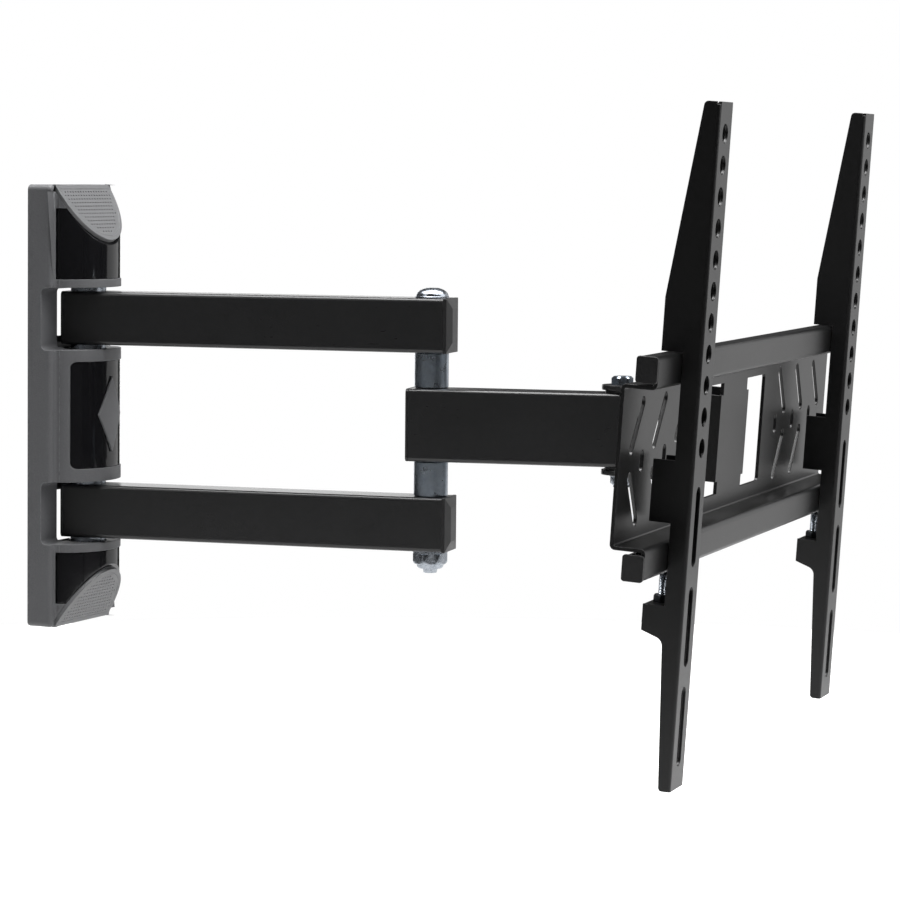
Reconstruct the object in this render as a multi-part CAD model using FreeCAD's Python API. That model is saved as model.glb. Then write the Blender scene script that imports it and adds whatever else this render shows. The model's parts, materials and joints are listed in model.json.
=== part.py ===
import FreeCAD, Part
import os
from math import atan2, cos, degrees, hypot, pi, sin

from FreeCAD import Placement, Rotation, Vector

# Full motion wall mount for a screen, in millimetres.
# The back of the wall plate lies on Y = 0, its middle is the origin, and the mount reaches out along -Y.
# Each moving group is drawn along -Y about its own pivot, then turned and set on the group before it.

# ---- driving sizes -------------------------------------------------------
# How the mount stands: turns about the upright pivots, in degrees, and the forward lean of the screen plate.
first_arm_turn = 8.8
second_arm_turn = 2.7
head_turn = -6.7
plate_lean = 3.6

# Reach, from pivot to pivot.
pivot_from_wall = 25.5
first_arm_reach = 264.0
second_arm_reach = 138.5
plate_from_swivel = 80.5
tilt_behind_plate = 20.0
arm_drop = 7.0

# Arm tubes.
first_tube_height = 39.0
first_tube_width = 30.0
first_tube_wall = 2.0
first_tube_spacing = 142.0
first_tail = 15.9
first_nose = 12.4
second_tube_height = 52.0
second_tube_width = 30.0
second_tube_wall = 2.5
second_tail = 15.6
second_nose = 14.0
tube_corner = 3.0
cap_lip = 2.0
cap_plug = 12.0
cap_straight = 2.5
cap_taper = 2.1
cap_side_taper = 9.1
cap_end_taper = 7.4
cap_edge = 0.4
inner_corner = 0.4
elbow_plug_gap = 3.0

# Upright pivots.
arm_bolt = 12.0
arm_bush_wall = 2.0
elbow_sleeve_wall = 4.0
elbow_spacer_width = 24.4
swivel_bolt_width = 8.0
swivel_sleeve_wall = 4.0
swivel_washer = 2.2
washer_width = 26.0

# Wall cover and wall plate.
cover_height = 323.0
cover_width = 86.0
base_depth = 19.9
nose_width = 73.0
nose_depth = 25.5
cover_wall = 2.5
cover_corner = 4.0
cover_edge = 3.0
nose_root = 3.2
notch_floor = 11.5
tube_gap = 3.2
rim_height = 6.0
panel_wall = 1.4
panel_sink = 0.7
panel_top_margin = 17.0
middle_panel_margin = 10.0
middle_panel_above = 8.5
middle_panel_below = 9.6
middle_panel_corner = 4.5
hood_drop = 39.5
hood_thick = 2.8
hood_border = 3.6
hood_overhang = 0.6
grille_thick = 1.6
grille_sink = 0.15
grille_pitch = 3.6
grille_row = 3.1
grille_hole = 1.4
grille_ledge = 1.0
grille_land = 2.0
pad_height = 56.0
pad_width = 30.0
pad_thick = 1.5
wall_plate_width = 78.0
wall_plate_thick = 3.0
wall_plate_margin = 5.0
wall_plate_corner = 6.0
lug_thick = 4.0
lug_half_width = 14.5
lag_hole = 9.0
lag_inset = 30.0
anchor_hole = 7.5
anchor_inset = 16.0
anchor_spacing = 60.0
window_half_width = 20.8
window_outer = 24.0
window_inner = 14.0

# Swivel head.
head_plate = 3.5
head_round = 14.5
head_web_gap = 14.0
head_bend = 3.0
head_side = 8.0
cheek_radius = 13.0
tilt_bolt = 8.0
tilt_washer = 1.0

# Screen plate: a folded sheet with a rail along its top and its bottom.
sheet = 2.5
plate_length = 532.0
web_height = 99.0
rail_height = 18.4
rail_depth = 14.0
rail_forward = 21.0
rail_lip_gap = 3.0
outer_bend = 3.5
inner_bend = 1.2
window_width = 44.0
window_height = 77.0
window_corner = 3.0
ear_corner = 10.0
ear_spacing = 72.0
ear_depth = 44.0
ear_height = 60.0
relief_width = 5.0
slot_rows = (132.0, 182.0, 232.0)
slot_length = 42.0
slot_width = 8.0
slot_slant = 34.0
slot_height = 23.5
oval_step_in = 14.5
oval_length = 14.0
rail_cap_lip = 2.5
rail_cap_corner = 2.0
rail_cap_plug = 14.0
rail_cap_gap = 1.5

# Screen brackets.
bracket_spacing = 400.0
bracket_width = 31.0
bracket_height = 440.0
bracket_sheet = 2.0
bracket_front = 13.0
bracket_raise = 10.0
flange_top = 10.5
flange_deep = 27.0
flange_neck = 12.7
flange_foot = 8.0
taper_length = 125.0
hook_lift = 0.3
tab_top = 2.0
tab_bottom = -38.0
foot_tab_top = -91.0
foot_tab_height = 17.0
hole_width = 12.4
hole_step = 20.0
hole_count = 11
hole_inset = 20.0
long_slot_width = 9.5
long_slot_length = 51.5
long_slot_step = 64.5
long_slot_first = 50.5
long_slot_count = 3
lock_screw = 6.0
lock_flats = 10.0
lock_head = 4.0
lock_nut_height = 5.0
lock_reach = 7.0
bracket_bend = 2.4
relief_notch = 2.4
relief_drop = 1.8
flange_top_corner = 3.0
flange_low_corner = 2.4
flange_neck_bend = 6.0

# Fasteners.
elbow_flange_radius = 12.0
elbow_flange = 2.0
elbow_dome_radius = 10.5
elbow_dome = 5.5
elbow_dome_round = 3.4
elbow_key = 8.0
elbow_key_depth = 3.0
elbow_bolt_end = 16.0
elbow_nut_flats = 21.5
elbow_nut_height = 8.4
elbow_collar_radius = 9.6
elbow_collar = 3.0
elbow_washer_radius = 12.5
elbow_washer_thick = 1.6
spacer_bevel = 0.8
swivel_flats = 13.5
swivel_nut_height = 6.0
swivel_collar_radius = 5.9
swivel_collar = 2.0
swivel_flange_radius = 8.5
swivel_flange = 1.4
swivel_bolt_end = 12.0
swivel_ring_radius = 12.0
tilt_flats = 13.0
tilt_head = 5.2
tilt_nut = 6.5
tilt_bolt_end = 9.0
tilt_washer_radius = 9.0
head_share = 0.62
nut_share = 0.9
flats_share = 1.5
play = 0.2
run_fit = 0.06


# ---- small tools ---------------------------------------------------------
def box(x0, x1, y0, y1, z0, z1):
    return Part.makeBox(x1 - x0, y1 - y0, z1 - z0, Vector(x0, y0, z0))


def rod(radius, start, end):
    along = end - start
    return Part.makeCylinder(radius, along.Length, start, along)


def upright(radius, x, y, z0, z1):
    return rod(radius, Vector(x, y, z0), Vector(x, y, z1))


def sleeve(outer, inner, x, y, z0, z1):
    return upright(outer, x, y, z0, z1).cut(upright(inner, x, y, z0 - 1, z1 + 1))


def join(pieces):
    whole = pieces[0]
    for piece in pieces[1:]:
        whole = whole.fuse(piece)
    return whole.removeSplitter()


def cut_all(whole, tools):
    return whole.cut(Part.makeCompound(tools))


def edges_along(shape, axis, where):
    found = []
    for edge in shape.Edges:
        if len(edge.Vertexes) != 2 or not isinstance(edge.Curve, Part.Line):
            continue
        run = edge.Vertexes[1].Point - edge.Vertexes[0].Point
        if run.Length > 0 and abs(run.normalize().dot(axis)) > 0.999 and where(edge.CenterOfMass):
            found.append(edge)
    return found


def circles_of(shape, radius):
    return [e for e in shape.Edges if isinstance(e.Curve,
            Part.Circle) and abs(e.Curve.Radius - radius) < 0.01]


def round_along(shape, radius, axis, where=lambda point: True):
    return shape.makeFillet(radius, edges_along(shape, axis, where))


AXIS_X = Vector(1, 0, 0)
AXIS_Y = Vector(0, 1, 0)
AXIS_Z = Vector(0, 0, 1)


def prism(points, extrude):
    return Part.Face(Part.makePolygon(points + points[:1])).extrude(extrude)


def hex_prism(across_flats, centre, along):
    # A hexagonal head or nut, with its corners turned down on the outer end.
    radius = across_flats / 2.0 / cos(pi / 6)
    turned = Rotation(AXIS_Z, along)
    corners = []
    for k in range(6):
        corner = Vector(radius * cos(k * pi / 3), radius * sin(k * pi / 3), 0)
        corners.append(centre + turned.multVec(corner))
    blank = prism(corners, along)
    height = along.Length
    turn_down = radius - across_flats / 2.0 * 0.97
    cone = Part.makeCone(radius + height, across_flats / 2.0 * 0.97, height + turn_down)
    cone.Placement = Placement(centre - turned.multVec(Vector(0, 0, turn_down)), turned)
    return blank.common(cone)


def slot_tool(width, length, angle, centre, depth):
    # A slot through a sheet that faces along Y; the angle leans its length away from upright.
    half = (length - width) / 2.0
    body = box(-width / 2.0, width / 2.0, -depth, depth, -half, half)
    for end in (-half, half):
        body = body.fuse(rod(width / 2.0, Vector(0, -depth, end), Vector(0, depth, end)))
    body.Placement = Placement(centre, Rotation(AXIS_Y, angle))
    return body


def rect_tube(height, width, wall, y_back, y_front, middle):
    z0 = middle - height / 2.0
    z1 = middle + height / 2.0
    outer = round_along(box(-width / 2.0, width / 2.0, y_front, y_back, z0, z1), tube_corner, AXIS_Y)
    inner = box(-width / 2.0 + wall, width / 2.0 - wall, y_front - 1, y_back + 1, z0 + wall, z1 - wall)
    inner = round_along(inner, tube_corner - wall + inner_corner, AXIS_Y)
    return outer.cut(inner)


# ---- places that pieces share --------------------------------------------
cover_top = cover_height / 2.0
half_gap = first_tube_height / 2.0 + tube_gap
tube_levels = (-arm_drop + first_tube_spacing / 2.0, -arm_drop - first_tube_spacing / 2.0)
upper_gap = (tube_levels[0] - half_gap, tube_levels[0] + half_gap)
lower_gap = (tube_levels[1] - half_gap, tube_levels[1] + half_gap)
blocks = ((upper_gap[1], cover_top), (lower_gap[1], upper_gap[0]), (-cover_top, lower_gap[0]))
hood_slope = atan2(hood_drop, nose_depth)
hood_length = hypot(nose_depth, hood_drop)
panel_back = panel_sink + panel_wall
backing = panel_back + cover_wall


def half_ellipse_wire(half_width, depth, y_start, root):
    # The plan of the cover's nose: half an ellipse in front of a straight-sided root.
    centre = Vector(0, y_start, 0)
    side = Vector(half_width, y_start, 0)
    if half_width >= depth:
        curve = Part.Ellipse(side, Vector(0, y_start + depth, 0), centre)
        front = Part.ArcOfEllipse(curve, pi, 2 * pi)
    else:
        curve = Part.Ellipse(Vector(0, y_start - depth, 0), side, centre)
        front = Part.ArcOfEllipse(curve, -pi / 2, pi / 2)
    corners = [side]
    if root > 0:
        corners += [Vector(half_width, y_start + root, 0), Vector(-half_width, y_start + root, 0)]
    corners.append(Vector(-half_width, y_start, 0))
    sides = [Part.LineSegment(p, q).toShape() for p, q in zip(corners, corners[1:])]
    return Part.Wire([front.toShape()] + sides)


def half_ellipse_solid(half_width, depth, y_start, root, z0, z1):
    solid = Part.Face(half_ellipse_wire(half_width, depth, y_start, root)).extrude(Vector(0, 0, z1 - z0))
    solid.translate(Vector(0, 0, z0))
    return solid


def nose(inset, z0, z1, root=0):
    return half_ellipse_solid(nose_width / 2.0 - inset, nose_depth - inset, -base_depth, root, z0, z1)


def above_hood(lower_by):
    # Everything in front of the slanted hood plane, lowered square to the plane.
    back = Vector(-cover_width, -base_depth, cover_top - lower_by / cos(hood_slope))
    run = Vector(0, -2 * nose_depth, -2 * hood_drop)
    rise = Vector(0, 0, 3 * hood_drop)
    points = [back, back + run, back + run + rise, back + rise]
    return prism(points, Vector(2 * cover_width, 0, 0))


def flipped(shape):
    # The lower end of the cover is its upper end turned half round, because both are symmetric across.
    turned = shape.copy()
    turned.rotate(Vector(0, 0, 0), AXIS_Y, 180)
    return turned


# ---- wall side -----------------------------------------------------------
def make_lug(z0):
    arm = box(-lug_half_width, lug_half_width, -pivot_from_wall, -wall_plate_thick, z0, z0 + lug_thick)
    lug = arm.fuse(upright(lug_half_width - 0.6, 0, -pivot_from_wall, z0, z0 + lug_thick))
    return lug.cut(upright(arm_bolt / 2.0, 0, -pivot_from_wall, z0 - 1, z0 + lug_thick + 1))


def lug_levels():
    # The underside of each lug, which seats on the inside of a block's end wall.
    return [upper_gap[1] + cover_wall, upper_gap[0] - cover_wall - lug_thick,
            lower_gap[1] + cover_wall, lower_gap[0] - cover_wall - lug_thick]


def make_wall_plate():
    half_height = cover_top - wall_plate_margin
    half_width = wall_plate_width / 2.0
    sheet_blank = box(-half_width, half_width, -wall_plate_thick, 0, -half_height, half_height)
    sheet_blank = round_along(sheet_blank, wall_plate_corner, AXIS_Y)
    openings = []
    for level, side in zip(tube_levels, (1, -1)):
        ends = sorted((level + side * window_outer, level - side * window_inner))
        openings.append(box(-window_half_width, window_half_width, -wall_plate_thick - 1, 1,
                        ends[0], ends[1]))
    through = Vector(0, 2 * wall_plate_thick, 0)
    for width, x, z in wall_holes():
        centre = Vector(x, 0, z)
        openings.append(rod(width / 2.0, centre - through, centre + through))
    plate = cut_all(sheet_blank, openings)
    return join([plate] + [make_lug(level) for level in lug_levels()])


def wall_holes():
    # Two large holes up the middle for a stud, and one at each corner for a masonry wall.
    holes = []
    for end in (1, -1):
        holes.append((lag_hole, 0, end * (cover_top - lag_inset)))
        for side in (1, -1):
            holes.append((anchor_hole, side * anchor_spacing / 2.0, end * (cover_top - anchor_inset)))
    return holes


def make_cover():
    half = cover_width / 2.0
    base = box(-half, half, -base_depth, 0, -cover_top, cover_top)
    base = round_along(base, cover_corner, AXIS_Y)
    base = base.makeFillet(cover_edge, [e for e in base.Edges if e.CenterOfMass.y < -base_depth + 0.1])
    outer = base
    for z0, z1 in blocks:
        outer = outer.fuse(nose(0, z0, z1, base_depth - 1))
        for side in (1, -1):
            outer = outer.fuse(nose_flare(side, z0, z1))
    outer = outer.removeSplitter()
    for gap in (upper_gap, lower_gap):
        slab = box(-cover_width, cover_width, -cover_width, -notch_floor, gap[0], gap[1])
        outer = outer.cut(round_along(slab, cover_corner, AXIS_X, lambda p: p.y > -notch_floor - 1))
    outer = outer.cut(above_hood(hood_thick)).cut(flipped(above_hood(hood_thick)))
    return cut_all(outer, cover_hollows()).removeSplitter()


def nose_flare(side, z0, z1):
    # A hollow curve that runs the base's front into the side of the nose.
    edge = nose_width / 2.0
    xs = sorted((side * (edge - 1), side * (edge + nose_root)))
    flare = box(xs[0], xs[1], -base_depth - nose_root, -base_depth + 0.5, z0, z1)
    return flare.cut(upright(nose_root, side * (edge + nose_root), -base_depth - nose_root, z0 - 1, z1 + 1))


def cover_hollows():
    inside = cover_width / 2.0 - cover_wall
    shallow = notch_floor - cover_wall
    tools = [box(-inside, inside, -shallow, 1, -cover_top + cover_wall, cover_top - cover_wall)]
    for z0, z1 in blocks:
        low = z0 + cover_wall
        high = z1 - cover_wall
        back = box(-inside, inside, -base_depth + cover_wall, 1, low, high)
        front = nose(backing, low, high, base_depth)
        hollow = back.fuse(front)
        under_hood = above_hood(hood_thick + cover_wall)
        tools.append(hollow.cut(under_hood).cut(flipped(under_hood)))
    for gap in (upper_gap, lower_gap):
        tools.append(box(-window_half_width, window_half_width, -notch_floor - 1, 1, gap[0], gap[1]))
    for level in tube_levels:
        tools.append(upright(washer_width / 2.0 + 1, 0, -pivot_from_wall,
                             level - half_gap - cover_wall - 0.5, level + half_gap + cover_wall + 0.5))
    tools.extend(panel_recesses())
    return tools


def panel_band(z0, z1, front_inset, back_inset):
    return nose(front_inset, z0, z1).cut(nose(back_inset, z0 - 1, z1 + 1, 1))


def end_band_levels():
    return blocks[0][0] + rim_height, cover_top - panel_top_margin


def panel_recesses():
    z0, z1 = end_band_levels()
    upper = panel_band(z0, z1, -1, panel_back)
    low_end = blocks[2][1] - rim_height
    lower = panel_band(-z1, low_end, -1, panel_back)
    return [upper, lower, middle_window(-1, panel_back, 0)]


def middle_window(front_inset, back_inset, shrink):
    # The middle panel stops short of the base on both sides and has rounded corners.
    z0 = blocks[1][0] + middle_panel_below + shrink
    z1 = blocks[1][1] - middle_panel_above - shrink
    band = panel_band(z0, z1, front_inset, back_inset)
    y_side = -base_depth - middle_panel_margin - shrink
    window = box(-cover_width, cover_width, -cover_width, y_side, z0, z1)
    window = round_along(window, middle_panel_corner, AXIS_X, lambda p: p.y > y_side - 1)
    return band.common(window)


def make_panels():
    z0, z1 = end_band_levels()
    low_end = blocks[2][1] - rim_height
    hood_cut = above_hood(hood_thick + play)
    top = panel_band(z0 + play, z1 - play, panel_sink, panel_back).cut(hood_cut)
    bottom = panel_band(play - z1, low_end - play, panel_sink, panel_back).cut(flipped(hood_cut))
    middle = middle_window(panel_sink, panel_back, play)
    return top, middle, bottom


def on_hood(shape):
    # Takes a shape drawn flat, with its length along -Y, onto the slanted hood plane.
    lean = degrees(hood_slope)
    start = Vector(0, -base_depth, cover_top)
    moved = shape.copy()
    moved.Placement = Placement(start, Rotation(AXIS_X, lean)).multiply(shape.Placement)
    # The back edge is trimmed square against the front of the base.
    return moved.cut(box(-cover_width, cover_width, -base_depth, 0, 0, 2 * cover_top))


def hood_size(inset):
    return nose_width / 2.0 + hood_overhang - inset, hood_length + hood_overhang - 2 * inset


def hood_wire(inset):
    return half_ellipse_wire(*hood_size(inset), -inset, 0)


def hood_slab(inset, z0, z1):
    slab = Part.Face(hood_wire(inset)).extrude(Vector(0, 0, z1 - z0))
    slab.translate(Vector(0, 0, z0))
    return slab


def make_hood():
    # A slanted frame; the grille drops onto the ledge in its opening, almost flush.
    seat = hood_slab(hood_border, -grille_sink - grille_thick, 1)
    through = hood_slab(hood_border + grille_ledge, -hood_thick - 1, 1)
    return on_hood(cut_all(hood_slab(0, -hood_thick, 0), [seat, through]))


def make_grille():
    # A thin perforated sheet with staggered round holes.
    inset = hood_border + play
    wide, deep = hood_size(inset)
    holes = []
    across = int(wide / grille_pitch)
    for row in range(int(deep / grille_row)):
        y = grille_row * (row + 0.75)
        for k in range(-across, across + 1):
            x = k * grille_pitch + grille_pitch / 2.0 * (row % 2)
            if ((abs(x) + grille_land) / wide) ** 2 + ((y + grille_land) / deep) ** 2 < 1:
                circle = Part.Circle(Vector(x, -inset - y, 0), AXIS_Z, grille_hole / 2.0)
                holes.append(Part.Wire([circle.toShape()]))
    face = Part.makeFace([hood_wire(inset)] + holes, "Part::FaceMakerBullseye")
    plate = Part.makeCompound(face.extrude(Vector(0, 0, grille_thick)).Solids)
    plate.translate(Vector(0, 0, -grille_sink - grille_thick))
    return on_hood(plate)


def make_pad():
    # A diamond pad that follows the curve of the middle panel.
    middle = (blocks[1][0] + middle_panel_below + blocks[1][1] - middle_panel_above) / 2.0
    z0 = middle - pad_height / 2.0
    z1 = middle + pad_height / 2.0
    shell = panel_band(z0, z1, panel_sink - pad_thick, panel_sink)
    points = [Vector(0, 0, z0), Vector(pad_width / 2.0, 0, middle)]
    points += [Vector(0, 0, z1), Vector(-pad_width / 2.0, 0, middle)]
    diamond = prism(points, Vector(0, -cover_width, 0))
    return shell.common(diamond)


def make_wall_pivots():
    bolts = []
    nuts = []
    washers = []
    head = arm_bolt * head_share
    nut = arm_bolt * nut_share
    flats = arm_bolt * flats_share
    for level in tube_levels:
        top = level + half_gap + cover_wall + lug_thick
        low = level - half_gap - cover_wall - lug_thick
        at = Vector(0, -pivot_from_wall, top)
        shank = upright(arm_bolt / 2.0, 0, -pivot_from_wall, low - nut - 2, top)
        bolts.append(shank.fuse(hex_prism(flats, at, Vector(0, 0, head))).removeSplitter())
        blank = hex_prism(flats, Vector(0, -pivot_from_wall, low), Vector(0, 0, -nut))
        nuts.append(blank.cut(shank))
        for side in (-1, 1):
            ends = sorted((level + side * (first_tube_height / 2.0 + play),
                           level + side * (half_gap + cover_wall)))
            washers.append(sleeve(washer_width / 2.0, arm_bolt / 2.0, 0, -pivot_from_wall, ends[0], ends[1]))
    return Part.makeCompound(bolts), Part.makeCompound(nuts), Part.makeCompound(washers)


# ---- first arm -----------------------------------------------------------
def make_first_tubes():
    tubes = []
    for side in (1, -1):
        middle = side * first_tube_spacing / 2.0
        front = -first_arm_reach - first_nose
        tube = rect_tube(first_tube_height, first_tube_width, first_tube_wall,
                         first_tail - cap_lip, front, middle)
        z0 = middle - first_tube_height
        z1 = middle + first_tube_height
        wall_hole = upright(arm_bolt / 2.0 + run_fit + arm_bush_wall, 0, 0, z0, z1)
        elbow_hole = upright(arm_bolt / 2.0, 0, -first_arm_reach, z0, z1)
        tubes.append(cut_all(tube, [wall_hole, elbow_hole]))
    return tubes


def make_wall_bushes():
    bushes = []
    inner = arm_bolt / 2.0 + run_fit
    for side in (1, -1):
        middle = side * first_tube_spacing / 2.0
        bushes.append(sleeve(inner + arm_bush_wall, inner, 0, 0,
                             middle - first_tube_height / 2.0, middle + first_tube_height / 2.0))
    return Part.makeCompound(bushes)


def cap_blank(height, width, wall, y_edge, middle, outward):
    # A plug that fills the tube's end, with a flat lip as wide as the tube.
    ends = sorted((y_edge, y_edge + outward * cap_lip))
    lip = box(-width / 2.0, width / 2.0, ends[0], ends[1], middle - height / 2.0, middle + height / 2.0)
    lip = round_along(lip, tube_corner, AXIS_Y)
    inside = sorted((y_edge, y_edge - outward * cap_plug))
    plug = box(-width / 2.0 + wall, width / 2.0 - wall, inside[0], inside[1],
               middle - height / 2.0 + wall, middle + height / 2.0 - wall)
    plug = round_along(plug, tube_corner - wall + inner_corner, AXIS_Y)
    return lip, plug


def make_first_tail_caps():
    caps = []
    for side in (1, -1):
        middle = side * first_tube_spacing / 2.0
        lip, plug = cap_blank(first_tube_height, first_tube_width, first_tube_wall,
                              first_tail - cap_lip, middle, 1)
        plug = plug.cut(upright(arm_bolt / 2.0 + run_fit + arm_bush_wall, 0, 0, middle - 30, middle + 30))
        caps.append(join([lip, plug]))
    return Part.makeCompound(caps)


def section_wire(height, width, y, middle, shrink_side, shrink_end):
    half = width / 2.0 - shrink_side
    tall = height / 2.0 - shrink_end
    corners = [Vector(-half, y, middle - tall), Vector(half, y, middle - tall)]
    corners += [Vector(half, y, middle + tall), Vector(-half, y, middle + tall)]
    return Part.makePolygon(corners + corners[:1])


def make_first_nose_caps():
    # Faceted ends: a short straight lip, then four flats that draw in to a smaller face.
    caps = []
    edge = -first_arm_reach - first_nose
    clear = arm_bolt / 2.0 + elbow_plug_gap
    for side in (1, -1):
        middle = side * first_tube_spacing / 2.0
        tall = first_tube_height
        lip = box(-first_tube_width / 2.0, first_tube_width / 2.0, edge - cap_straight, edge,
                  middle - tall / 2.0, middle + tall / 2.0)
        near = section_wire(tall, first_tube_width, edge - cap_straight, middle, 0, 0)
        far = section_wire(tall, first_tube_width, edge - cap_straight - cap_taper, middle,
                           cap_side_taper, cap_end_taper)
        taper = Part.makeLoft([near, far], True)
        head = join([lip, taper])
        sharp = [e for e in head.Edges if e.CenterOfMass.y < edge - 0.5]
        head = head.makeFillet(cap_edge, sharp)
        plug = cap_blank(tall, first_tube_width, first_tube_wall, edge, middle, -1)[1]
        plug = plug.cut(upright(clear, 0, -first_arm_reach, middle - 30, middle + 30))
        caps.append(join([head, plug]))
    return Part.makeCompound(caps)


elbow_stack = (first_tube_spacing + first_tube_height) / 2.0


def make_elbow_bolt():
    # A domed head with a hexagon key, on a thin flange.
    top = elbow_stack
    y = -first_arm_reach
    crown = top + elbow_flange + elbow_dome
    flange = upright(elbow_flange_radius, 0, y, top, top + elbow_flange)
    flange = flange.makeChamfer(0.6, [e for e in flange.Edges if e.CenterOfMass.z > top + elbow_flange - 0.1])
    dome = upright(elbow_dome_radius, 0, y, top + elbow_flange, crown)
    dome = dome.makeFillet(elbow_dome_round, [e for e in dome.Edges if e.CenterOfMass.z > crown - 0.1])
    dome = dome.cut(hex_prism(elbow_key, Vector(0, y, crown + 1), Vector(0, 0, -elbow_key_depth - 1)))
    end = -top - elbow_bolt_end
    shank = upright(arm_bolt / 2.0, 0, y, end, top)
    shank = shank.makeChamfer(1.0, [e for e in shank.Edges if e.CenterOfMass.z < end + 0.1])
    return join([flange, dome, shank])


def make_elbow_nut():
    y = -first_arm_reach
    seat = -elbow_stack - elbow_washer_thick
    low = seat - elbow_nut_height
    body = hex_prism(elbow_nut_flats, Vector(0, y, seat), Vector(0, 0, -elbow_nut_height))
    collar = upright(elbow_collar_radius, 0, y, low - elbow_collar, low)
    collar = collar.makeFillet(2.0, [e for e in collar.Edges if e.CenterOfMass.z < low - elbow_collar + 0.1])
    washer = upright(elbow_washer_radius, 0, y, seat, -elbow_stack)
    bore = upright(arm_bolt / 2.0, 0, y, low - 2 * elbow_collar, -elbow_stack + 1)
    return join([body, collar]).cut(bore), washer.cut(bore)


def make_elbow_spacers():
    inner_edge = (first_tube_spacing - first_tube_height) / 2.0
    spacers = []
    for side in (1, -1):
        ends = sorted((side * (second_tube_height / 2.0 + play), side * inner_edge))
        ring = sleeve(elbow_spacer_width / 2.0, arm_bolt / 2.0, 0, -first_arm_reach, ends[0], ends[1])
        spacers.append(ring.makeChamfer(spacer_bevel, circles_of(ring, elbow_spacer_width / 2.0)))
    return spacers


# ---- second arm ----------------------------------------------------------
def make_second_tube():
    front = -second_arm_reach - second_nose + cap_lip
    tube = rect_tube(second_tube_height, second_tube_width, second_tube_wall, second_tail - cap_lip, front, 0)
    tall = second_tube_height
    elbow = upright(arm_bolt / 2.0 + run_fit + elbow_sleeve_wall, 0, 0, -tall, tall)
    swivel = upright(swivel_bolt_width / 2.0 + run_fit + swivel_sleeve_wall, 0, -second_arm_reach,
                     -tall, tall)
    return cut_all(tube, [elbow, swivel])


def make_second_sleeves():
    tall = second_tube_height / 2.0
    bore = arm_bolt / 2.0 + run_fit
    elbow = sleeve(bore + elbow_sleeve_wall, bore, 0, 0, -tall, tall)
    bore = swivel_bolt_width / 2.0 + run_fit
    swivel = sleeve(bore + swivel_sleeve_wall, bore, 0, -second_arm_reach, -tall, tall)
    return elbow, swivel


def make_second_caps():
    caps = []
    for y_edge, outward, y_pin, pin in (
            (second_tail - cap_lip, 1, 0, arm_bolt / 2.0 + run_fit + elbow_sleeve_wall),
            (-second_arm_reach - second_nose + cap_lip, -1, -second_arm_reach,
             swivel_bolt_width / 2.0 + run_fit + swivel_sleeve_wall)):
        lip, plug = cap_blank(second_tube_height, second_tube_width, second_tube_wall, y_edge, 0, outward)
        plug = plug.cut(upright(pin, 0, y_pin, -60, 60))
        caps.append(join([lip, plug]))
    return Part.makeCompound(caps)


def make_swivel_washers():
    rings = []
    for side in (1, -1):
        ends = sorted((side * second_tube_height / 2.0,
                       side * (second_tube_height / 2.0 + swivel_washer - play / 2.0)))
        bore = swivel_bolt_width / 2.0 + run_fit
        rings.append(sleeve(swivel_ring_radius, bore, 0, -second_arm_reach, ends[0], ends[1]))
    return Part.makeCompound(rings)


# ---- swivel head ---------------------------------------------------------
head_inside = second_tube_height / 2.0 + swivel_washer
head_top = head_inside + head_plate
tilt_y = -plate_from_swivel + tilt_behind_plate
head_web_y = tilt_y + head_web_gap
cheek_outer = ear_spacing / 2.0 - sheet - tilt_washer - play


def make_head_bracket():
    # Top and bottom plates round the swivel, a web across their front, and a cheek on each side.
    half = cheek_outer
    plan = [Vector(-head_round, 0, 0), Vector(-half, head_web_y + head_side, 0), Vector(-half, head_web_y, 0)]
    plan += [Vector(half, head_web_y, 0), Vector(half, head_web_y + head_side, 0), Vector(head_round, 0, 0)]
    blank = prism(plan, Vector(0, 0, head_plate))
    blank = blank.fuse(upright(head_round, 0, 0, 0, head_plate)).removeSplitter()
    blank = blank.cut(upright(swivel_bolt_width / 2.0, 0, 0, -1, head_plate + 1))
    pieces = []
    for z0 in (head_inside, -head_top):
        plate = blank.copy()
        plate.translate(Vector(0, 0, z0))
        pieces.append(plate)
    pieces.append(box(-half, half, head_web_y, head_web_y + head_plate, -head_top, head_top))
    for side in (1, -1):
        xs = sorted((side * half, side * (half - head_plate)))
        arm = box(xs[0], xs[1], tilt_y, head_web_y, -cheek_radius, cheek_radius)
        arm = arm.fuse(rod(cheek_radius, Vector(xs[0], tilt_y, 0), Vector(xs[1], tilt_y, 0)))
        hole = rod(tilt_bolt / 2.0 + run_fit, Vector(xs[0] - 1, tilt_y, 0), Vector(xs[1] + 1, tilt_y, 0))
        pieces.append(arm.cut(hole))
    bracket = join(pieces)
    return round_along(bracket, head_bend, AXIS_X,
                       lambda p: abs(p.y - head_web_y) < 0.1 and abs(abs(p.z) - head_top) < 0.1)


def make_swivel_bolt():
    head = swivel_bolt_width * 0.75
    shank = upright(swivel_bolt_width / 2.0, 0, 0, -head_top - swivel_bolt_end, head_top)
    return join([shank, hex_prism(swivel_flats, Vector(0, 0, head_top), Vector(0, 0, head))])


def make_swivel_nut():
    seat = -head_top - swivel_flange
    low = seat - swivel_nut_height
    body = hex_prism(swivel_flats, Vector(0, 0, seat), Vector(0, 0, -swivel_nut_height))
    collar = upright(swivel_collar_radius, 0, 0, low - swivel_collar, low)
    washer = upright(swivel_flange_radius, 0, 0, seat, -head_top)
    nut = join([body, collar, washer])
    return nut.cut(upright(swivel_bolt_width / 2.0, 0, 0, low - 2 * swivel_collar, 0))


def make_tilt_washers():
    rings = []
    for side in (1, -1):
        start = Vector(side * cheek_outer, tilt_y, 0)
        end = Vector(side * (cheek_outer + tilt_washer), tilt_y, 0)
        rings.append(rod(tilt_washer_radius, start, end).cut(rod(tilt_bolt / 2.0 + run_fit, start, end)))
    return Part.makeCompound(rings)


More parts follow.
